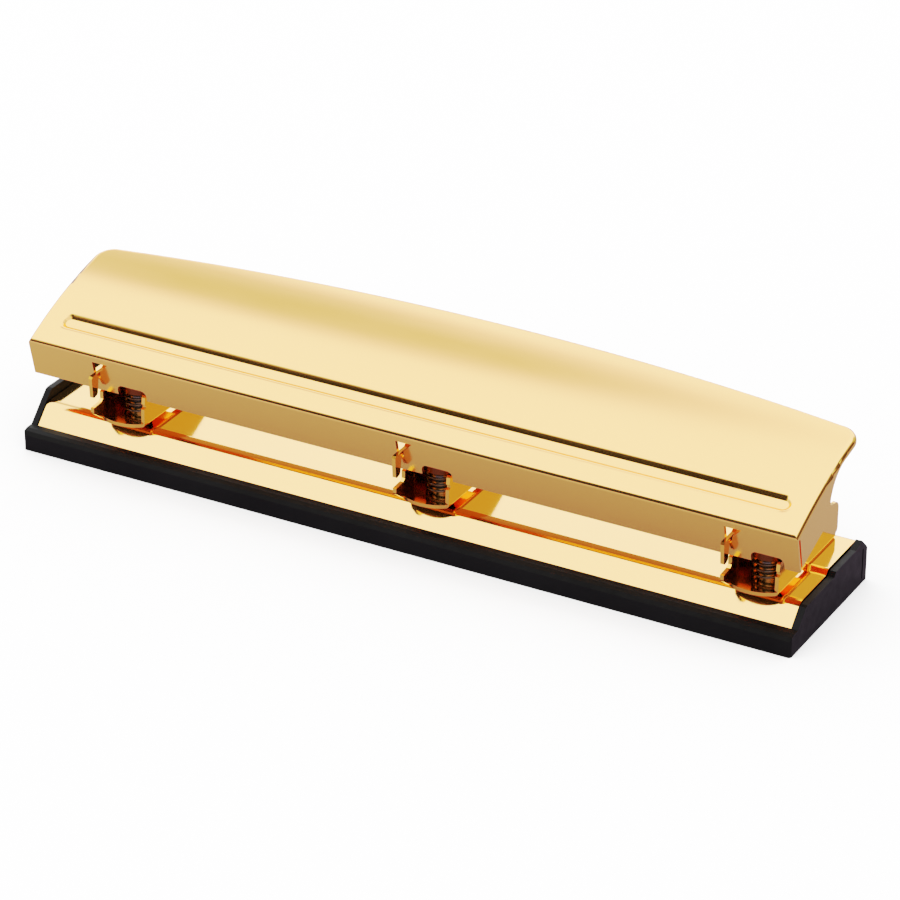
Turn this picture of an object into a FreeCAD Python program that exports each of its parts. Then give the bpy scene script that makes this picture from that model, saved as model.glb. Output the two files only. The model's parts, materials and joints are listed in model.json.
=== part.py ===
import FreeCAD, Part

import math
import os

# Three-hole lever punch on a snap-on chip tray.
# Millimetres. +X along the punch, +Y to the rear (away from the paper), +Z up.
# The origin is the middle of the tray's underside.
# Depths in the profiles below are counted from the front edge of the tray.

# ---- driving dimensions -------------------------------------------------
HOLE_PITCH = 107.95            # 4.25 in between neighbouring holes
HOLE_DIAMETER = 7.1            # cutting diameter of the pins
DIE_CLEARANCE = 0.06           # gap all round the pin in the base plate's die hole
BRACKET_CLEARANCE = 0.07       # the same in the bracket's floor
GUIDE_CLEARANCE = 0.08         # the same in the upper guide and the spring cup

TRAY_LENGTH = 264.6
TRAY_DEPTH = 53.0
TRAY_FLOOR = 2.0
TRAY_WALL = 2.0
TRAY_LIP_HEIGHT = 6.9
TRAY_REAR_HEIGHT = 11.2
TRAY_CORNER_RADIUS = 0.9
TRAY_SLIT_DEPTH = 49.6         # narrow relief slit in the right cheek
TRAY_SLIT_WIDTH = 0.7

PLATE_SHEET = 1.0
PLATE_FRONT_LEVEL = 12.6       # top of the table that the paper lies on
PLATE_REAR_LEVEL = 14.1        # top of the raised rear half, the paper's back stop
PLATE_STEP_DEPTH = 28.2
PLATE_STEP_RUN = 1.8
PLATE_REAR_END = 50.6
PLATE_FRONT_END = 4.9
PLATE_CORNER_DEPTH = 10.7      # where the sloping apron meets the table
PLATE_BEND_RADIUS = 5.0
PLATE_END_GAP = 0.3

RIVET_HOLE_RADIUS = 1.6
RIVET_RADIUS = 1.55
RIVET_HEAD_RADIUS = 2.7
RIVET_CROWN_RADIUS = 1.5
RIVET_HEAD_HEIGHT = 0.9
RIVET_DEPTH = 42.5
RIVET_SPREAD = 3.6             # each side of the bracket's middle line

BRACKET_SHEET = 1.2
BRACKET_LEFT = 0.5             # outer face of the left wall, from the head's datum
BRACKET_RIGHT = 16.1           # outer face of the right wall
BRACKET_REAR = 48.0
BRACKET_FOLD_RADIUS = 0.9
BACK_TAB_DEPTH = 24.6          # tab lanced out of the floor and bent up behind the pin
BACK_TAB_TOP = 27.0
BACK_TAB_MARGIN = 0.6          # from each wall

PIN_OFFSET = 9.4               # pin axis from the head's datum
PIN_DEPTH = 16.3
PIN_BOTTOM = 14.5
PIN_TOP = 39.45
PIN_DOME_RADIUS = 6.0
PIN_HOLLOW_RADIUS = 7.0
PIN_POINT_HEIGHT = 0.8         # depth of the hollow between the two cutting points

CUP_LEVEL = 22.6
CUP_HEIGHT = 3.0
CUP_RADIUS = 5.2
CLIP_LEVEL = CUP_LEVEL + CUP_HEIGHT
CLIP_THICKNESS = 0.7
CLIP_GROOVE_RADIUS = 2.8
CLIP_RADIUS = 5.0
CLIP_MOUTH = 4.8               # width of the clip's opening
GUIDE_LEVEL = 27.6
GUIDE_WIDTH = 11.2             # front to back
GUIDE_TAB_WIDTH = 5.0          # of the ends that go through the walls
SPRING_WIRE = 0.8
SPRING_RADIUS = 4.75           # to the middle of the wire
SPRING_TURNS = 3.5

HANDLE_SHEET = 1.1
HANDLE_LENGTH = 262.4
HANDLE_FOLD_RADIUS = 1.6
HANDLE_CORNER_RADIUS = 6.5     # rear corners, seen from above
FLANGE_TOP_DEPTH = 3.7
FLANGE_TOP_LEVEL = 37.3
FLANGE_BOTTOM_DEPTH = 6.6
FLANGE_BOTTOM_LEVEL = 24.5
SLOT_FLOOR_LEVEL = 29.0        # rests under the hook necks, where the handle rocks
SLOT_TOP_LEVEL = 34.6
PIN_WINDOW_LEFT = 8.0          # cut-out in the flange's lower edge, from the head's datum
PIN_WINDOW_RIGHT = 18.4
PIN_WINDOW_TOP = 27.9
PIN_WINDOW_CORNER = 1.8

GROOVE_LENGTH = 250.0
GROOVE_DEPTH_POSITION = 13.3
GROOVE_FLOOR_WIDTH = 3.2
GROOVE_SINK = 1.5
GROOVE_RIM_RADIUS = 2.8

HEAD_NAMES = ["left", "middle", "right"]

NODES = {}


# ---- helpers ------------------------------------------------------------
def vector(x, y, z):
    return FreeCAD.Vector(x, y, z)


def behind(depth):
    """Row Y of a depth counted from the tray's front edge."""
    return depth - TRAY_DEPTH / 2


def head_datum(index):
    return (index - 1) * HOLE_PITCH


def pin_place(index):
    return head_datum(index) + PIN_OFFSET, behind(PIN_DEPTH)


def box(x0, x1, y0, y1, z0, z1):
    return Part.makeBox(x1 - x0, y1 - y0, z1 - z0, vector(x0, y0, z0))


def rod(x, y, z0, z1, radius):
    return Part.makeCylinder(radius, z1 - z0, vector(x, y, z0))


def side_face(points):
    """Flat face in the YZ plane from (depth, height) corners."""
    corners = [vector(0, behind(depth), height) for depth, height in points]
    return Part.Face(Part.makePolygon(corners + corners[:1]))


def side_prism(points, x0, x1):
    """Side profile drawn in the YZ plane, pushed from x0 to x1."""
    prism = side_face(points).extrude(vector(x1 - x0, 0, 0))
    prism.translate(vector(x0, 0, 0))
    return prism


def edges_at(solid, test):
    """Edges whose two ends both pass the test."""
    return [edge for edge in solid.Edges
            if len(edge.Vertexes) == 2 and all(test(corner.Point) for corner in edge.Vertexes)]


def edges_along_x(solid, depth, height, reach=0.3):
    """Long edges parallel to X through one (depth, height) point."""
    return edges_at(solid, lambda point: abs(point.y - behind(depth)) < reach
                    and abs(point.z - height) < reach)


def edges_at_level(solid, height):
    """Edges that lie flat at one height."""
    return [edge for edge in solid.Edges
            if abs(edge.BoundBox.ZMax - height) < 0.01 and edge.BoundBox.ZLength < 0.01]


def keep(name, shape):
    NODES[name] = shape


# ---- chip tray ----------------------------------------------------------
def cheek_profile(table_level, rear_level, peak_level):
    """Outline of an end cheek: ramp, table-height run, raised rear end."""
    return [(0, 0), (0, 5.2), (0.8, 6.2), (4.6, 6.9),
            (4.6 + table_level - 7.2, table_level - 0.3), (5.6 + table_level - 7.2, table_level),
            (29.2, table_level), (30.4, rear_level), (44.5, rear_level), (48.9, peak_level),
            (TRAY_DEPTH - 0.3, TRAY_REAR_HEIGHT), (TRAY_DEPTH, TRAY_REAR_HEIGHT - 0.6), (TRAY_DEPTH, 0)]


def tray_cross_section():
    """Trough: floor, front wall with an inward lip, taller rear wall."""
    return [(0, 0), (0, 5.2), (0.8, 6.4), (2.2, TRAY_LIP_HEIGHT), (4.7, TRAY_LIP_HEIGHT),
            (4.7, 5.4), (3.0, 4.4), (3.0, TRAY_FLOOR),
            (TRAY_DEPTH - TRAY_WALL, TRAY_FLOOR), (TRAY_DEPTH - TRAY_WALL, TRAY_REAR_HEIGHT),
            (TRAY_DEPTH - 0.6, TRAY_REAR_HEIGHT), (TRAY_DEPTH, TRAY_REAR_HEIGHT - 0.6),
            (TRAY_DEPTH, 0)]


def make_chip_tray():
    half = TRAY_LENGTH / 2
    tray = side_prism(tray_cross_section(), -half, half)
    right_cheek = side_prism(cheek_profile(12.2, 13.5, 14.8), half - TRAY_WALL, half)
    left_cheek = side_prism(cheek_profile(15.8, 15.8, 15.8), -half, -half + TRAY_WALL)
    slit_y = behind(TRAY_SLIT_DEPTH)
    slit = box(half - TRAY_SLIT_WIDTH, half + 1, slit_y, slit_y + TRAY_SLIT_WIDTH, 1.6, 11.6)
    tray = tray.fuse(right_cheek).fuse(left_cheek).cut(slit).removeSplitter()
    corners = edges_at(tray, lambda point: abs(point.x) > half - 0.01
                       and point.y < behind(0.01) and point.z < 5.3)
    corners = [edge for edge in corners if abs(edge.Vertexes[0].Z - edge.Vertexes[1].Z) > 4]
    keep("chip_tray", tray.makeFillet(TRAY_CORNER_RADIUS, corners))


# ---- base plate ---------------------------------------------------------
def plate_outline():
    """Top skin of the plate; its legs run on below the tray floor and are trimmed."""
    below = -6.0
    return [(PLATE_FRONT_END, below), (PLATE_FRONT_END, 6.7), (PLATE_CORNER_DEPTH, PLATE_FRONT_LEVEL),
            (PLATE_STEP_DEPTH, PLATE_FRONT_LEVEL),
            (PLATE_STEP_DEPTH + PLATE_STEP_RUN, PLATE_REAR_LEVEL),
            (PLATE_REAR_END, PLATE_REAR_LEVEL), (PLATE_REAR_END, below)]


def plate_bends():
    """Depth, level and outer radius of each bend that is rounded."""
    return [(PLATE_CORNER_DEPTH, PLATE_FRONT_LEVEL, PLATE_BEND_RADIUS),
            (PLATE_STEP_DEPTH, PLATE_FRONT_LEVEL, 1.3),
            (PLATE_STEP_DEPTH + PLATE_STEP_RUN, PLATE_REAR_LEVEL, 1.6),
            (PLATE_REAR_END, PLATE_REAR_LEVEL, 1.6)]


def make_base_plate():
    half = TRAY_LENGTH / 2 - TRAY_WALL - PLATE_END_GAP
    outline = side_face(plate_outline())
    outer = outline.extrude(vector(2 * half, 0, 0))
    inner = outline.makeOffset2D(-PLATE_SHEET, join=2).extrude(vector(2 * half, 0, 0))
    for depth, level, radius in plate_bends():
        outer = outer.makeFillet(radius, edges_along_x(outer, depth, level))
    inner = inner.makeFillet(PLATE_BEND_RADIUS - PLATE_SHEET,
                             edges_along_x(inner, PLATE_CORNER_DEPTH + 0.4,
                                           PLATE_FRONT_LEVEL - PLATE_SHEET, 0.5))
    plate = outer.cut(inner)
    plate.translate(vector(-half, 0, 0))
    plate = plate.common(box(-half, half, behind(0), behind(TRAY_DEPTH), TRAY_FLOOR, 20))
    for index in range(3):
        x, y = pin_place(index)
        plate = plate.cut(rod(x, y, 8, 16, HOLE_DIAMETER / 2 + DIE_CLEARANCE))
        for rivet_x in rivet_places(index):
            plate = plate.cut(rod(rivet_x, behind(RIVET_DEPTH), 8, 16, RIVET_HOLE_RADIUS))
    keep("base_plate", plate)


# ---- rivets that hold the brackets down ---------------------------------
def rivet_places(index):
    middle = head_datum(index) + (BRACKET_LEFT + BRACKET_RIGHT) / 2
    return [middle - RIVET_SPREAD, middle + RIVET_SPREAD]


def rivet_head(x, y, z, direction):
    return Part.makeCone(RIVET_HEAD_RADIUS, RIVET_CROWN_RADIUS, RIVET_HEAD_HEIGHT,
                         vector(x, y, z), vector(0, 0, direction))


def make_rivets():
    rivets = []
    y = behind(RIVET_DEPTH)
    top = PLATE_REAR_LEVEL + BRACKET_SHEET
    bottom = PLATE_REAR_LEVEL - PLATE_SHEET
    for index in range(3):
        for x in rivet_places(index):
            shank = rod(x, y, bottom, top, RIVET_RADIUS)
            rivet = shank.fuse(rivet_head(x, y, top, 1)).fuse(rivet_head(x, y, bottom, -1))
            rivets.append(rivet.removeSplitter())
    keep("bracket_rivets", Part.makeCompound(rivets))


# ---- head brackets ------------------------------------------------------
def left_wall_profile():
    """Wall with the paper-guide toe below and the hook that carries the handle above."""
    foot = PLATE_REAR_LEVEL
    return [(BRACKET_REAR, foot), (7.2, foot), (2.4, 17.8), (1.9, 18.4), (1.9, 20.0), (6.1, 20.3),
            (7.2, 21.1), (7.2, 23.4), (8.8, 24.1), (8.8, 29.45), (5.1, 29.45), (4.35, 24.4),
            (3.9, 23.9), (2.3, 23.5), (1.8, 23.8), (1.4, 30.2), (1.9, 30.9), (8.8, 30.9),
            (10.0, 31.9), (24.0, 31.9), (44.0, 21.5), (BRACKET_REAR, 18.5)]


def right_wall_profile():
    """Wall that is low in front of the pin, with a small notch in its front edge."""
    foot = PLATE_REAR_LEVEL
    return [(BRACKET_REAR, foot), (8.1, foot), (8.3, 20.2), (9.2, 20.6), (9.2, 21.3), (8.6, 21.8),
            (8.9, 24.0), (9.5, 24.6), (12.4, 24.8), (13.2, 25.8), (13.2, 30.6), (14.0, 31.4),
            (24.0, 31.4), (44.0, 21.5), (BRACKET_REAR, 18.5)]


def bracket_web(x0):
    """Floor of the channel; its front edge bows towards the paper."""
    z = PLATE_REAR_LEVEL
    left = x0 + BRACKET_LEFT
    right = x0 + BRACKET_RIGHT
    start = vector(left, behind(7.4), z)
    middle = vector(left + 8.2, behind(5.3), z)
    end = vector(right, behind(8.4), z)
    bow = Part.Arc(start, middle, end).toShape()
    rest = Part.makePolygon([end, vector(right, behind(BRACKET_REAR), z),
                             vector(left, behind(BRACKET_REAR), z), start])
    return Part.Face(Part.Wire([bow] + rest.Edges)).extrude(vector(0, 0, BRACKET_SHEET))


def back_tab(x0):
    """The bent-up tab and the window that it leaves in the floor."""
    left = x0 + BRACKET_LEFT + BRACKET_SHEET + BACK_TAB_MARGIN
    right = x0 + BRACKET_RIGHT - BRACKET_SHEET - BACK_TAB_MARGIN
    front = behind(BACK_TAB_DEPTH)
    rear = front + BRACKET_SHEET
    floor = PLATE_REAR_LEVEL
    tab = box(left, right, front, rear, floor, BACK_TAB_TOP)
    window = box(left, right, rear, rear + BACK_TAB_TOP - floor - BRACKET_SHEET,
                 floor - 1, floor + BRACKET_SHEET + 1)
    return tab, window


def bracket_slots(x0):
    """Windows in both walls that take the ends of the upper guide."""
    y = behind(PIN_DEPTH)
    return box(x0 - 5, x0 + BRACKET_RIGHT + 5, y - GUIDE_TAB_WIDTH / 2, y + GUIDE_TAB_WIDTH / 2,
               GUIDE_LEVEL, GUIDE_LEVEL + BRACKET_SHEET)


def make_bracket(index):
    x0 = head_datum(index)
    left, right = x0 + BRACKET_LEFT, x0 + BRACKET_RIGHT
    left_wall = side_prism(left_wall_profile(), left, left + BRACKET_SHEET)
    right_wall = side_prism(right_wall_profile(), right - BRACKET_SHEET, right)
    tab, window = back_tab(x0)
    bracket = bracket_web(x0).fuse(left_wall).fuse(right_wall).removeSplitter()
    folds = [edge for edge in bracket.Edges
             if edge.Length > 30 and abs(edge.BoundBox.ZMax - PLATE_REAR_LEVEL) < 0.01
             and edge.BoundBox.ZLength < 0.01 and edge.BoundBox.XLength < 0.01]
    bracket = bracket.makeFillet(BRACKET_FOLD_RADIUS, folds)
    bracket = bracket.cut(window).fuse(tab).removeSplitter()
    pin_x, pin_y = pin_place(index)
    bracket = bracket.cut(rod(pin_x, pin_y, 12, 17, HOLE_DIAMETER / 2 + BRACKET_CLEARANCE))
    bracket = bracket.cut(bracket_slots(x0))
    for x in rivet_places(index):
        bracket = bracket.cut(rod(x, behind(RIVET_DEPTH), 12, 17, RIVET_HOLE_RADIUS))
    keep(HEAD_NAMES[index] + "_bracket", bracket)


def make_upper_guide(index):
    """Flat bridge between the walls that steadies the top half of the pin."""
    x0 = head_datum(index)
    x, y = pin_place(index)
    inner_left = x0 + BRACKET_LEFT + BRACKET_SHEET
    inner_right = x0 + BRACKET_RIGHT - BRACKET_SHEET
    top = GUIDE_LEVEL + BRACKET_SHEET
    body = box(inner_left, inner_right, y - GUIDE_WIDTH / 2, y + GUIDE_WIDTH / 2, GUIDE_LEVEL, top)
    tabs = box(x0 + BRACKET_LEFT, x0 + BRACKET_RIGHT, y - GUIDE_TAB_WIDTH / 2, y + GUIDE_TAB_WIDTH / 2,
               GUIDE_LEVEL, top)
    guide = body.fuse(tabs).cut(rod(x, y, 20, 35, HOLE_DIAMETER / 2 + GUIDE_CLEARANCE))
    keep(HEAD_NAMES[index] + "_upper_guide", guide.removeSplitter())


# ---- punch pins and what rides on them ----------------------------------
def make_punch_pin(index):
    x, y = pin_place(index)
    radius = HOLE_DIAMETER / 2
    pin = rod(x, y, PIN_BOTTOM, PIN_TOP, radius)
    dome_middle = PIN_TOP - PIN_DOME_RADIUS
    dome = Part.makeSphere(PIN_DOME_RADIUS, vector(x, y, dome_middle))
    lower_part = box(x - 5, x + 5, y - 5, y + 5, PIN_BOTTOM - 1, dome_middle)
    pin = pin.common(dome.fuse(lower_part))
    # the clip groove
    ring = rod(x, y, CLIP_LEVEL, CLIP_LEVEL + CLIP_THICKNESS, radius + 1)
    pin = pin.cut(ring.cut(rod(x, y, CLIP_LEVEL - 1, CLIP_LEVEL + 2, CLIP_GROOVE_RADIUS)))
    # the hollow end leaves two cutting points, front and back
    hollow_level = PIN_BOTTOM + PIN_POINT_HEIGHT - PIN_HOLLOW_RADIUS
    hollow = Part.makeCylinder(PIN_HOLLOW_RADIUS, 20, vector(x - 10, y, hollow_level), vector(1, 0, 0))
    keep(HEAD_NAMES[index] + "_punch_pin", pin.cut(hollow))


def make_pin_clip(index):
    """Open ring snapped into the pin's groove."""
    x, y = pin_place(index)
    top = CLIP_LEVEL + CLIP_THICKNESS
    bore = CLIP_GROOVE_RADIUS + 0.02
    clip = rod(x, y, CLIP_LEVEL, top, CLIP_RADIUS).cut(rod(x, y, CLIP_LEVEL - 1, top + 1, bore))
    mouth = box(x - CLIP_MOUTH / 2, x + CLIP_MOUTH / 2, y, y + CLIP_RADIUS + 1,
                CLIP_LEVEL - 1, top + 1)
    keep(HEAD_NAMES[index] + "_pin_clip", clip.cut(mouth))


def make_spring_cup(index):
    """Turned collar that slides on the pin and caps the spring."""
    x, y = pin_place(index)
    cup = rod(x, y, CUP_LEVEL, CLIP_LEVEL, CUP_RADIUS)
    cup = cup.makeFillet(0.5, edges_at_level(cup, CLIP_LEVEL))
    hole = rod(x, y, CUP_LEVEL - 1, CLIP_LEVEL + 1, HOLE_DIAMETER / 2 + GUIDE_CLEARANCE)
    keep(HEAD_NAMES[index] + "_spring_cup", cup.cut(hole))


def make_return_spring(index):
    """Round-wire coil with ground ends, standing on the bracket's floor."""
    x, y = pin_place(index)
    bottom = PLATE_REAR_LEVEL + BRACKET_SHEET
    height = CUP_LEVEL - bottom
    helix = Part.makeHelix(height / SPRING_TURNS, height, SPRING_RADIUS)
    wire_section = Part.Wire([Part.makeCircle(SPRING_WIRE / 2, vector(SPRING_RADIUS, 0, 0),
                                              vector(0, 1, 0))])
    coil = Part.Wire(helix).makePipeShell([wire_section], True, True)
    coil.translate(vector(x, y, bottom))
    coil = coil.common(rod(x, y, bottom, bottom + height, SPRING_RADIUS + 2))
    keep(HEAD_NAMES[index] + "_return_spring", coil)


# ---- handle -------------------------------------------------------------
def handle_top_points():
    """Three points of the arched top: front fold, middle, rear."""
    return (FLANGE_TOP_DEPTH, FLANGE_TOP_LEVEL), (25.0, 46.5), (60.0, 53.3)


def handle_side_face(inset):
    """Handle seen from the end: tilted front flange and arched top, closed far below."""
    front, middle, rear = [vector(0, behind(depth), height) for depth, height in handle_top_points()]
    lean = (FLANGE_BOTTOM_DEPTH - FLANGE_TOP_DEPTH) / (FLANGE_TOP_LEVEL - FLANGE_BOTTOM_LEVEL)
    low = 10.0
    front_low = vector(0, front.y + lean * (front.z - low), low)
    rear_low = vector(0, rear.y, low)
    arch = Part.Arc(front, middle, rear).toShape()
    legs = Part.makePolygon([rear, rear_low, front_low, front])
    face = Part.Face(Part.Wire([arch] + legs.Edges))
    if inset:
        face = face.makeOffset2D(-inset, join=2)
    return face


def handle_plan_face(inset):
    """Handle seen from above: straight sides, round rear corners, bowed rear edge."""
    half = HANDLE_LENGTH / 2 - inset
    corner = HANDLE_CORNER_RADIUS - inset
    rear_end = behind(48.3) - inset
    rear_middle = behind(57.4) - inset
    front = behind(-4)
    side = rear_end - corner
    diagonal = corner * math.sqrt(0.5)
    right_turn = Part.Arc(vector(half, side, 0), vector(half - corner + diagonal, side + diagonal, 0),
                          vector(half - corner, rear_end, 0))
    bow = Part.Arc(vector(half - corner, rear_end, 0), vector(0, rear_middle, 0),
                   vector(-half + corner, rear_end, 0))
    left_turn = Part.Arc(vector(-half + corner, rear_end, 0),
                         vector(-half + corner - diagonal, side + diagonal, 0),
                         vector(-half, side, 0))
    legs = Part.makePolygon([vector(-half, side, 0), vector(-half, front, 0),
                             vector(half, front, 0), vector(half, side, 0)])
    edges = [right_turn.toShape(), bow.toShape(), left_turn.toShape()] + legs.Edges
    return Part.Face(Part.Wire(edges))


def handle_block(inset):
    length = HANDLE_LENGTH + 20
    profile = handle_side_face(inset).extrude(vector(length, 0, 0))
    profile.translate(vector(-length / 2, 0, 0))
    plan = handle_plan_face(inset).extrude(vector(0, 0, 80))
    return profile.common(plan)


def flange_trim():
    """Everything below the flanges: front foot, side arch, ear and rear lip."""
    half = HANDLE_LENGTH
    arch = Part.Arc(vector(0, behind(8.0), 25.4), vector(0, behind(15.2), 28.2),
                    vector(0, behind(21.8), 30.7)).toShape()
    ear_top = Part.Arc(vector(0, behind(32.3), 33.2), vector(0, behind(31.4), 35.6),
                       vector(0, behind(29.2), 36.3)).toShape()
    neck = Part.Arc(vector(0, behind(26.2), 38.6), vector(0, behind(30.0), 44.9),
                    vector(0, behind(37.3), 47.9)).toShape()
    outline = [vector(0, behind(21.8), 30.7), vector(0, behind(29.0), 26.3),
               vector(0, behind(30.9), 25.7), vector(0, behind(32.0), 26.4),
               vector(0, behind(32.3), 27.4), vector(0, behind(32.3), 33.2)]
    notch = [vector(0, behind(29.2), 36.3), vector(0, behind(26.4), 37.0),
             vector(0, behind(26.2), 38.6)]
    lip = [vector(0, behind(37.3), 47.9), vector(0, behind(47.0), 49.9),
           vector(0, behind(62.0), 50.9), vector(0, behind(62.0), 0), vector(0, behind(-6.0), 0),
           vector(0, behind(-6.0), FLANGE_BOTTOM_LEVEL),
           vector(0, behind(8.0), FLANGE_BOTTOM_LEVEL), vector(0, behind(8.0), 25.4)]
    edges = [arch] + Part.makePolygon(outline).Edges + [ear_top] + Part.makePolygon(notch).Edges
    edges = edges + [neck] + Part.makePolygon(lip).Edges
    trim = Part.Face(Part.Wire(edges)).extrude(vector(2 * half, 0, 0))
    trim.translate(vector(-half, 0, 0))
    return trim


def top_surface(depth):
    """Height and slope, in degrees, of the arched top at a depth."""
    front, middle, rear = [vector(0, behind(across), height) for across, height in handle_top_points()]
    circle = Part.Arc(front, middle, rear).toShape().Curve
    reach = behind(depth) - circle.Center.y
    rise = math.sqrt(circle.Radius ** 2 - reach ** 2)
    return circle.Center.z + rise, math.degrees(math.atan2(-reach, rise))


def groove_bar(floor_width, sink, lift):
    """Round-ended bar with sides at 45 degrees, lying on the slope of the top."""
    taper = sink + lift - 0.1
    width = floor_width + 2 * taper
    straight = (GROOVE_LENGTH - floor_width) / 2 - GROOVE_SINK
    bar = box(-straight, straight, -width / 2, width / 2, -sink, lift)
    for x in (-straight, straight):
        bar = bar.fuse(rod(x, 0, -sink, lift, width / 2))
    bar = bar.removeSplitter()
    bar = bar.makeChamfer(taper, edges_at_level(bar, -sink))
    level, slope = top_surface(GROOVE_DEPTH_POSITION)
    bar.rotate(vector(0, 0, 0), vector(1, 0, 0), slope)
    bar.translate(vector(0, behind(GROOVE_DEPTH_POSITION), level))
    return bar


def groove_rim(block):
    """Edges round the groove's mouth: they lie within a narrow band of the top."""
    level = top_surface(GROOVE_DEPTH_POSITION)[0]
    near = behind(GROOVE_DEPTH_POSITION)
    rim = []
    for edge in block.Edges:
        bounds = edge.BoundBox
        middle = edge.valueAt((edge.FirstParameter + edge.LastParameter) / 2)
        surface = top_surface(middle.y - behind(0))[0]
        reach = GROOVE_FLOOR_WIDTH / 2 + GROOVE_SINK + 1
        inside = bounds.YMin > near - reach and bounds.YMax < near + reach
        if inside and abs(bounds.Center.z - level) < 3 and abs(middle.z - surface) < 0.02:
            rim.append(edge)
    return rim


def hook_slot(index):
    """Tapered window in the front flange that the bracket's hook passes through."""
    x0 = head_datum(index)
    corners = [(x0 + 0.1, SLOT_TOP_LEVEL), (x0 + 5.5, SLOT_TOP_LEVEL), (x0 + 2.4, SLOT_FLOOR_LEVEL + 2.4),
               (x0 + 2.1, SLOT_FLOOR_LEVEL), (x0 + 0.1, SLOT_FLOOR_LEVEL)]
    points = [vector(x, behind(0), z) for x, z in corners]
    return Part.Face(Part.makePolygon(points + points[:1])).extrude(vector(0, 10, 0))


def pin_window(index):
    """Round-cornered cut-out in the flange's lower edge, in front of the pin."""
    x0 = head_datum(index)
    opening = box(x0 + PIN_WINDOW_LEFT, x0 + PIN_WINDOW_RIGHT, behind(0), behind(9),
                  FLANGE_BOTTOM_LEVEL - 2, PIN_WINDOW_TOP)
    corners = edges_at(opening, lambda point: point.z > PIN_WINDOW_TOP - 0.01)
    corners = [edge for edge in corners if edge.BoundBox.XLength < 0.01]
    return opening.makeFillet(PIN_WINDOW_CORNER, corners)


def corner_gap(side):
    """Slit between the front flange's end and the side flange behind it."""
    width = 0.8
    back = HANDLE_SHEET + 0.05
    outline = [(FLANGE_TOP_DEPTH + back, 35.8), (FLANGE_BOTTOM_DEPTH + back + 0.4, 22.0),
               (FLANGE_BOTTOM_DEPTH + back + 0.4 + width, 22.0), (FLANGE_TOP_DEPTH + back + width, 35.8)]
    edge = HANDLE_LENGTH / 2
    x0, x1 = sorted((side * (edge - HANDLE_SHEET - 0.3), side * (edge + 1)))
    return side_prism(outline, x0, x1)


def top_folds(block):
    """Edges all round the arched top."""
    return [edge for edge in block.Edges if edge.BoundBox.ZMin > FLANGE_TOP_LEVEL - 0.1]


def make_handle():
    outer = handle_block(0)
    outer = outer.makeFillet(HANDLE_FOLD_RADIUS, top_folds(outer))
    outer = outer.cut(groove_bar(GROOVE_FLOOR_WIDTH, GROOVE_SINK, 2.0))
    outer = outer.makeFillet(GROOVE_RIM_RADIUS, groove_rim(outer))
    bulge = groove_bar(GROOVE_FLOOR_WIDTH + HANDLE_SHEET, GROOVE_SINK + HANDLE_SHEET, -0.4)
    inner = handle_block(HANDLE_SHEET).cut(bulge)
    handle = outer.cut(inner).cut(flange_trim())
    for index in range(3):
        handle = handle.cut(hook_slot(index)).cut(pin_window(index))
    for side in (-1, 1):
        handle = handle.cut(corner_gap(side))
    keep("handle", handle.removeSplitter())


# ---- whole punch --------------------------------------------------------
def write_nodes():
    os.makedirs("parts", exist_ok=True)
    for name, shape in NODES.items():
        shape.exportStep("parts/" + name + ".step")
        print(name, "valid", shape.isValid(), "solids", len(shape.Solids), round(shape.Volume, 1))


def main():
    make_chip_tray()
    make_base_plate()
    make_rivets()
    for index in range(3):
        make_bracket(index)
        make_upper_guide(index)
        make_punch_pin(index)
        make_pin_clip(index)
        make_spring_cup(index)
        make_return_spring(index)
    make_handle()
    write_nodes()


main()
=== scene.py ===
import json
import math

import bpy
from mathutils import Matrix, Vector


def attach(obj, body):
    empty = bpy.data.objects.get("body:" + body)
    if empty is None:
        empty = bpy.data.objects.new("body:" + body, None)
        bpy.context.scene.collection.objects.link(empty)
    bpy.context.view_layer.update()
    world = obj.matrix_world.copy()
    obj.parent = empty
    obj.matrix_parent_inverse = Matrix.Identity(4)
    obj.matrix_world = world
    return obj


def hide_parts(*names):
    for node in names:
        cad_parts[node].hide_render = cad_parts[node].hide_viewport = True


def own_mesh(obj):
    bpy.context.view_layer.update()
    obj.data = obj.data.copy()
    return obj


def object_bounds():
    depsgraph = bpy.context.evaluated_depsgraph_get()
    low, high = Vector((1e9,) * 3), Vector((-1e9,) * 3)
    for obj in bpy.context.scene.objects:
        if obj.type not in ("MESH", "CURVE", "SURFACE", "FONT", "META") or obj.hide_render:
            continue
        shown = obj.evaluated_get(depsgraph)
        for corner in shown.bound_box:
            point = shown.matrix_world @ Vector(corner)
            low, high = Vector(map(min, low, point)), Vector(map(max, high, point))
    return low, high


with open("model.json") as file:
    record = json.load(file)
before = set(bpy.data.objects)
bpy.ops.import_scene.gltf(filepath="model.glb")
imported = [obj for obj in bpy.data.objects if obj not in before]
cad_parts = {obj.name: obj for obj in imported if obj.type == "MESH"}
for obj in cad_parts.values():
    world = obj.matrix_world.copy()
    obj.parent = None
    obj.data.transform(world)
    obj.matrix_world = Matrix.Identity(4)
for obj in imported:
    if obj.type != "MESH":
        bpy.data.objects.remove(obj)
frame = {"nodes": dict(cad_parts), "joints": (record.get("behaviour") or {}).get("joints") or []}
cad_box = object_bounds()
nodes = frame["nodes"]

HEADS = ("left", "middle", "right")

# ---- camera, metres and degrees -------------------------------------------
AZIMUTH = 29.14
ELEVATION = 27.68
CAMERA_DISTANCE = 1.1697
CAMERA_AIM = (0.0128, -0.0117, 0.030)
LENS = 157.0
SENSOR = 36.0
NEAREST_SEEN = 0.01
FURTHEST_SEEN = 50.0

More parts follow.
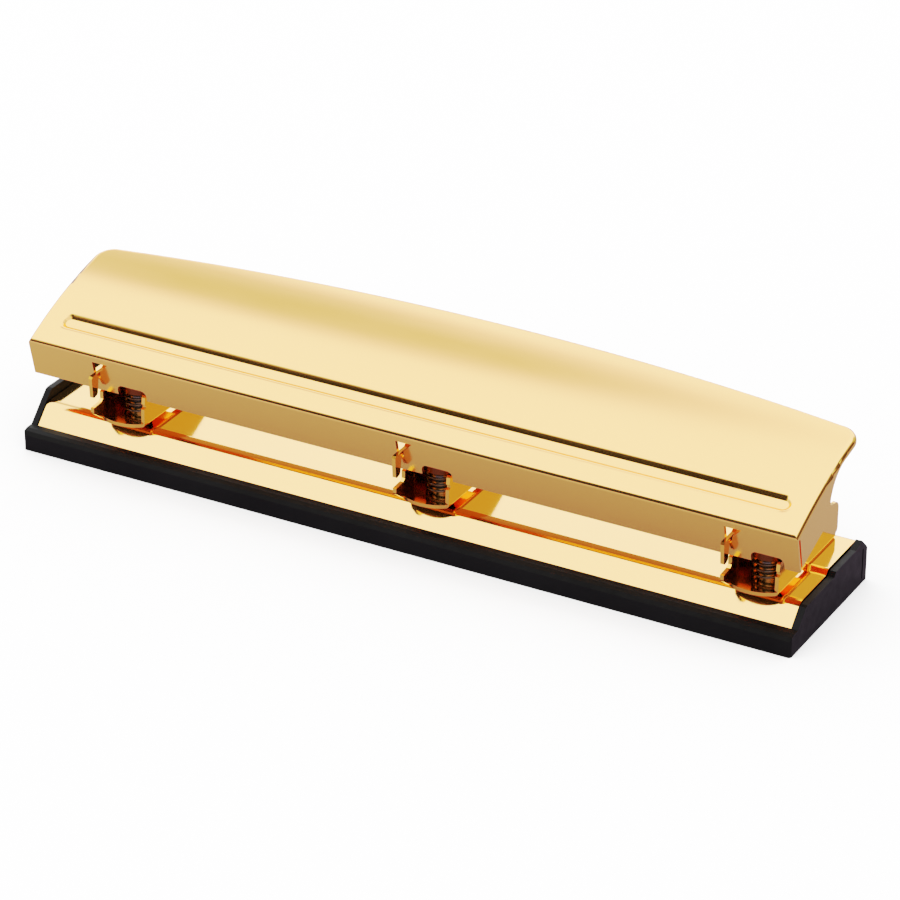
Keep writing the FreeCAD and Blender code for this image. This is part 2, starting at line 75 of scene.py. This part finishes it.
# ---- colours, linear ------------------------------------------------------
PLATE_GOLD = (0.95, 0.60, 0.23)
HANDLE_GOLD = (0.95, 0.58, 0.205)
BRACKET_GOLD = (0.94, 0.53, 0.15)
CLOUDED_GOLD = (0.98, 0.93, 0.85)       # multiplies a gold where the plating is clouded
PLASTIC = (0.0035, 0.0034, 0.0036)
GROUND_STEEL = (0.30, 0.27, 0.25)
SPRING_WIRE = (0.16, 0.12, 0.10)
BRONZE = (0.26, 0.09, 0.035)
FLOOR_PAINT = (0.92, 0.92, 0.92)

# ---- surface relief, metres ------------------------------------------------
PEEL_HEIGHT = 0.0000012
GRAIN_HEIGHT = 0.00002
LINE_HEIGHT = 0.000006

# ---- studio, metres; 1.0 is a mid-tone and WHITE prints as pure white -------
WHITE = 3.6
ROOM_LIGHT = 3.4
ROOM_MIRRORED = 2.6
ROOM_SHADE = (1.0, 0.77, 0.42)
ROOM_DARKEST = 0.975                    # share of the light that the darkest part loses
AWAY_FROM_DARK = (-0.6, 0.8)            # across and away; the dark front lies opposite
SHADED_PATCH = (-0.485, 0.537, 0.695)
# painted reflection: dim, faintly purple floor colour that only the plating's reflections show
FLOOR_PAINTED_REFLECTION = (0.262, 0.210, 0.265)
FLOOR_SIZE = 12.0
LAMP_PLACE = (-0.5, 0.3, 1.7)
LAMP_WIDTH = 1.6
LAMP_DEPTH = 1.2
LAMP_WATTS = 14.0

# how many times light is followed from one mirroring face to the next
MIRROR_BOUNCES = 10

# printed level for each light level
PRINT_CURVE = ((0.03, 0.014), (0.12, 0.080), (0.45, 0.43), (1.37, 0.745), (2.3, 0.913))


# ---- node helpers ---------------------------------------------------------
class Graph:
    """Adds and links shader nodes of a material or a world."""

    def __init__(self, owner):
        self.owner = owner
        owner.use_nodes = True
        self.tree = owner.node_tree

    def add(self, kind, **settings):
        node = self.tree.nodes.new(kind)
        for key, value in settings.items():
            setattr(node, key, value)
        return node

    def link(self, source, target):
        self.tree.links.new(source, target)

    def split(self, vector):
        """The X, Y and Z sockets of a vector."""
        node = self.add("ShaderNodeSeparateXYZ")
        self.link(vector, node.inputs["Vector"])
        return [node.outputs[axis] for axis in "XYZ"]

    def remap(self, value, low, high, from_low=0.0, from_high=1.0, **settings):
        node = self.add("ShaderNodeMapRange", **settings)
        node.inputs["From Min"].default_value = from_low
        node.inputs["From Max"].default_value = from_high
        node.inputs["To Min"].default_value = low
        node.inputs["To Max"].default_value = high
        self.link(value, node.inputs["Value"])
        return node.outputs["Result"]

    def ramp(self, value, from_low, from_high, low, high):
        """A smooth step from one level to another."""
        return self.remap(value, low, high, from_low, from_high, interpolation_type="SMOOTHSTEP")

    def math(self, operation, first, second):
        node = self.add("ShaderNodeMath", operation=operation)
        for slot, value in enumerate((first, second)):
            if isinstance(value, float):
                node.inputs[slot].default_value = value
            else:
                self.link(value, node.inputs[slot])
        return node.outputs["Value"]

    def blend(self, factor, first, second):
        mix = self.add("ShaderNodeMix", data_type="RGBA")
        mix.inputs["A"].default_value = (*first, 1)
        mix.inputs["B"].default_value = (*second, 1)
        self.link(factor, mix.inputs["Factor"])
        return mix.outputs["Result"]


class Surface(Graph):
    """Material of one Principled shader with noise and relief on it."""

    def __init__(self, name):
        super().__init__(bpy.data.materials.new(name))
        self.shader = self.tree.nodes["Principled BSDF"]
        self.place = self.add("ShaderNodeTexCoord").outputs["Object"]

    def noise(self, scale, detail=3.0, roughness=0.5, stretch=(1, 1, 1)):
        mapping = self.add("ShaderNodeMapping")
        mapping.inputs["Scale"].default_value = stretch
        self.link(self.place, mapping.inputs["Vector"])
        noise = self.add("ShaderNodeTexNoise")
        noise.inputs["Scale"].default_value = scale
        noise.inputs["Detail"].default_value = detail
        noise.inputs["Roughness"].default_value = roughness
        self.link(mapping.outputs["Vector"], noise.inputs["Vector"])
        return noise.outputs["Fac"]

    def relief(self, heights):
        """Chains pairs of a height socket and a distance into one normal."""
        normal = None
        for height, distance in heights:
            bump = self.add("ShaderNodeBump")
            bump.inputs["Strength"].default_value = 1.0
            bump.inputs["Distance"].default_value = distance
            self.link(height, bump.inputs["Height"])
            if normal is not None:
                self.link(normal, bump.inputs["Normal"])
            normal = bump.outputs["Normal"]
        self.link(normal, self.shader.inputs["Normal"])


# ---- materials ------------------------------------------------------------
def gold_material(name, colour, rough_low, rough_high, swell_height):
    """Bright plating on rolled sheet: faint clouds, long smudges, a slow swell and orange peel."""
    gold = Surface(name)
    gold.shader.inputs["Metallic"].default_value = 1.0
    clouds = gold.noise(scale=9.0, detail=2.0)
    clouds = gold.remap(clouds, low=0.0, high=0.35, from_low=0.3, from_high=0.75)
    clouded = tuple(channel * share for channel, share in zip(colour, CLOUDED_GOLD))
    gold.link(gold.blend(clouds, colour, clouded), gold.shader.inputs["Base Color"])
    smudges = gold.noise(scale=55.0, detail=4.0, roughness=0.6, stretch=(0.25, 1.6, 1.0))
    rough = gold.remap(smudges, low=rough_low, high=rough_high, from_low=0.3, from_high=0.7)
    gold.link(rough, gold.shader.inputs["Roughness"])
    swell = gold.noise(scale=16.0, detail=1.0, roughness=0.4, stretch=(0.35, 1.0, 1.0))
    peel = gold.noise(scale=900.0, detail=2.0)
    gold.relief([(swell, swell_height), (peel, PEEL_HEIGHT)])
    return gold.owner


def plastic_material(name):
    """Satin black moulded plastic with a fine grain."""
    plastic = Surface(name)
    plastic.shader.inputs["Specular IOR Level"].default_value = 0.16
    shade = plastic.remap(plastic.noise(scale=30.0), low=0.0, high=1.0, from_low=0.3, from_high=0.7)
    lighter = tuple(channel * 1.6 for channel in PLASTIC)
    plastic.link(plastic.blend(shade, PLASTIC, lighter), plastic.shader.inputs["Base Color"])
    patches = plastic.noise(scale=300.0, detail=4.0)
    rough = plastic.remap(patches, low=0.30, high=0.42, from_low=0.3, from_high=0.7)
    plastic.link(rough, plastic.shader.inputs["Roughness"])
    grain = plastic.noise(scale=2600.0, detail=3.0, roughness=0.7)
    plastic.relief([(grain, GRAIN_HEIGHT)])
    return plastic.owner


def steel_material(name, colour, rough_low, rough_high, line_density):
    """Turned, ground or drawn steel with fine lines round its upright axis."""
    steel = Surface(name)
    steel.shader.inputs["Metallic"].default_value = 1.0
    lines = steel.noise(scale=1500.0, detail=3.0, roughness=0.6, stretch=(1, 1, line_density))
    darker = tuple(channel * 0.6 for channel in colour)
    steel.link(steel.blend(lines, darker, colour), steel.shader.inputs["Base Color"])
    steel.link(steel.remap(lines, low=rough_low, high=rough_high), steel.shader.inputs["Roughness"])
    steel.relief([(lines, LINE_HEIGHT)])
    return steel.owner


def dress(node, material):
    """Gives a CAD node its only material."""
    mesh = nodes[node].data
    mesh.materials.clear()
    mesh.materials.append(material)


def dress_all():
    handle = gold_material("satin_gold", HANDLE_GOLD, rough_low=0.12, rough_high=0.17,
                           swell_height=0.00035)
    plate = gold_material("mirror_gold", PLATE_GOLD, rough_low=0.07, rough_high=0.12,
                          swell_height=0.00012)
    pressed = gold_material("pressed_gold", BRACKET_GOLD, rough_low=0.09, rough_high=0.14,
                            swell_height=0.00008)
    pin = steel_material("ground_steel", GROUND_STEEL, rough_low=0.18, rough_high=0.32, line_density=12)
    wire = steel_material("dark_spring_steel", SPRING_WIRE, rough_low=0.16, rough_high=0.30, line_density=4)
    cup = steel_material("turned_bronze", BRONZE, rough_low=0.20, rough_high=0.34, line_density=10)
    dress("handle", handle)
    dress("base_plate", plate)
    dress("bracket_rivets", pressed)
    dress("chip_tray", plastic_material("black_plastic"))
    for head in HEADS:
        dress(head + "_bracket", pressed)
        dress(head + "_upper_guide", pressed)
        dress(head + "_punch_pin", pin)
        dress(head + "_pin_clip", wire)
        dress(head + "_spring_cup", cup)
        dress(head + "_return_spring", wire)


# ---- springs --------------------------------------------------------------
def make_coils():
    """Copies of the CAD springs on the frame body, in place of the rigid CAD coils."""
    for joint in frame["joints"]:
        head = joint["name"].split("_")[0]
        if head not in HEADS:
            continue
        node = head + "_return_spring"
        coil = bpy.data.objects.new(head + "_spring_coil", nodes[node].data.copy())
        bpy.context.scene.collection.objects.link(coil)
        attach(coil, "frame")
        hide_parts(node)
        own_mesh(coil)


# ---- floor ----------------------------------------------------------------
def painted_floor_reflection(graph):
    """Painted reflection of the floor, seen only by glossy rays: dim and faintly purple, with painted
    contact shade close to the tray, darker to the right and far in front.
    """
    across, away, _ = graph.split(graph.add("ShaderNodeTexCoord").outputs["Object"])
    # painted contact shade: the mirrored floor is darker close to the tray
    painted_contact_shade = graph.ramp(away, from_low=-0.11, from_high=-0.035, low=1.06, high=0.80)
    far = graph.ramp(away, from_low=-0.34, from_high=-0.17, low=0.08, high=1.0)
    side = graph.ramp(across, from_low=-0.16, from_high=0.16, low=1.08, high=0.94)
    tint = graph.add("ShaderNodeVectorMath", operation="SCALE")
    tint.inputs[0].default_value = FLOOR_PAINTED_REFLECTION
    level = graph.math("MULTIPLY", graph.math("MULTIPLY", painted_contact_shade, side), far)
    graph.link(level, tint.inputs["Scale"])
    paint = graph.add("ShaderNodeBsdfDiffuse")
    graph.link(tint.outputs["Vector"], paint.inputs["Color"])
    return paint.outputs["BSDF"]


def floor_material():
    """Pale paint for the camera, and a dim tinted painted reflection for what the plating mirrors."""
    graph = Graph(bpy.data.materials.new("floor_paint"))
    pale = graph.tree.nodes["Principled BSDF"]
    pale.inputs["Base Color"].default_value = (*FLOOR_PAINT, 1)
    pale.inputs["Roughness"].default_value = 0.7
    pale.inputs["Specular IOR Level"].default_value = 0.0
    path = graph.add("ShaderNodeLightPath")
    mix = graph.add("ShaderNodeMixShader")
    graph.link(path.outputs["Is Glossy Ray"], mix.inputs["Fac"])
    graph.link(pale.outputs["BSDF"], mix.inputs[1])
    # glossy rays see the painted floor reflection, the camera sees the pale paint
    graph.link(painted_floor_reflection(graph), mix.inputs[2])
    graph.link(mix.outputs["Shader"], graph.tree.nodes["Material Output"].inputs["Surface"])
    return graph.owner


def make_floor():
    bpy.ops.mesh.primitive_plane_add(size=FLOOR_SIZE, location=(0, 0, cad_box[0].z))
    floor = bpy.context.object
    floor.name = "floor"
    floor.data.materials.append(floor_material())


# ---- room -----------------------------------------------------------------
def room_darkness(graph, across, away, height):
    """Share of light that the mirrored room loses low in front and low on the right."""
    low = graph.ramp(height, from_low=0.58, from_high=0.76, low=1.0, high=0.0)
    turned_across = graph.math("MULTIPLY", across, AWAY_FROM_DARK[0])
    turned_away = graph.math("MULTIPLY", away, AWAY_FROM_DARK[1])
    turned = graph.math("ADD", turned_across, turned_away)
    front = graph.ramp(turned, from_low=-0.36, from_high=-0.08, low=1.0, high=0.0)
    right = graph.math("ADD", graph.ramp(across, from_low=0.12, from_high=0.34, low=0.0, high=0.62),
                       graph.ramp(across, from_low=0.5, from_high=0.68, low=0.0, high=0.33))
    # in front on the right the room is pale again
    corner = graph.math("MULTIPLY", graph.math("SUBTRACT", across, away), 0.7)
    open_side = graph.ramp(corner, from_low=0.42, from_high=0.70, low=1.0, high=0.3)
    dark = graph.math("MULTIPLY", graph.math("MULTIPLY", low, open_side),
                      graph.math("MAXIMUM", front, right))
    return graph.math("MULTIPLY", dark, ROOM_DARKEST)


def room_patch(graph, place):
    """A soft shaded patch high at the back, left of the middle."""
    toward = graph.add("ShaderNodeVectorMath", operation="DOT_PRODUCT")
    graph.link(place, toward.inputs[0])
    toward.inputs[1].default_value = Vector(SHADED_PATCH).normalized()
    return graph.ramp(toward.outputs["Value"], from_low=0.986, from_high=0.9995, low=1.0, high=0.52)


def make_world():
    """White room for the camera; the plating mirrors one that is dim in places."""
    world = bpy.data.worlds.new("studio")
    bpy.context.scene.world = world
    graph = Graph(world)
    place = graph.add("ShaderNodeTexCoord").outputs["Generated"]
    across, away, height = graph.split(place)
    clear = graph.math("SUBTRACT", 1.0, room_darkness(graph, across, away, height))
    horizon = graph.ramp(height, from_low=0.04, from_high=0.30, low=0.45, high=1.0)
    level = graph.math("MULTIPLY", graph.math("MULTIPLY", clear, horizon), room_patch(graph, place))
    glossy = graph.add("ShaderNodeLightPath").outputs["Is Glossy Ray"]
    direct = graph.math("SUBTRACT", 1.0, glossy)
    mirrored = graph.math("MULTIPLY", glossy, graph.math("MULTIPLY", level, ROOM_MIRRORED))
    strength = graph.math("ADD", graph.math("MULTIPLY", direct, ROOM_LIGHT), mirrored)
    # the dim parts of the mirrored room are warm, the rest is white
    tone = graph.blend(graph.math("MAXIMUM", level, direct), ROOM_SHADE, (1, 1, 1))
    background = graph.tree.nodes["Background"]
    graph.link(tone, background.inputs["Color"])
    graph.link(strength, background.inputs["Strength"])


# ---- lamp, camera and print -----------------------------------------------
def make_light():
    """Large soft lamp above the left rear, which the plating doesn't mirror."""
    light = bpy.data.lights.new("softbox", "AREA")
    light.shape = "RECTANGLE"
    light.size = LAMP_WIDTH
    light.size_y = LAMP_DEPTH
    light.energy = LAMP_WATTS
    lamp = bpy.data.objects.new("softbox", light)
    lamp.location = LAMP_PLACE
    lamp.rotation_euler = (Vector((0, 0, 0)) - lamp.location).to_track_quat("-Z", "Y").to_euler()
    lamp.visible_glossy = False
    bpy.context.scene.collection.objects.link(lamp)


def make_camera():
    camera = bpy.data.cameras.new("camera")
    camera.lens = LENS
    camera.sensor_width = SENSOR
    camera.clip_start = NEAREST_SEEN
    camera.clip_end = FURTHEST_SEEN
    turn = math.radians(AZIMUTH)
    rise = math.radians(ELEVATION)
    back = Vector((math.sin(turn) * math.cos(rise), -math.cos(turn) * math.cos(rise), math.sin(rise)))
    right = Vector((math.cos(turn), math.sin(turn), 0))
    up = back.cross(right)
    matrix = Matrix((right, up, back)).transposed().to_4x4()
    matrix.translation = Vector(CAMERA_AIM) + back * CAMERA_DISTANCE
    holder = bpy.data.objects.new("camera", camera)
    holder.matrix_world = matrix
    bpy.context.scene.collection.objects.link(holder)
    bpy.context.scene.camera = holder


def set_tone():
    """Camera-like curve, the same for each channel: bright gold prints pale, dim gold prints deep."""
    view = bpy.context.scene.view_settings
    view.view_transform = "Standard"
    view.use_curve_mapping = True
    mapping = view.curve_mapping
    mapping.white_level = (WHITE, WHITE, WHITE)
    for channel in range(3):
        for light, printed in PRINT_CURVE:
            mapping.curves[channel].points.new(light / WHITE, printed)
    mapping.update()


bpy.context.scene.cycles.glossy_bounces = MIRROR_BOUNCES
dress_all()
make_coils()
make_floor()
make_world()
make_light()
make_camera()
set_tone()
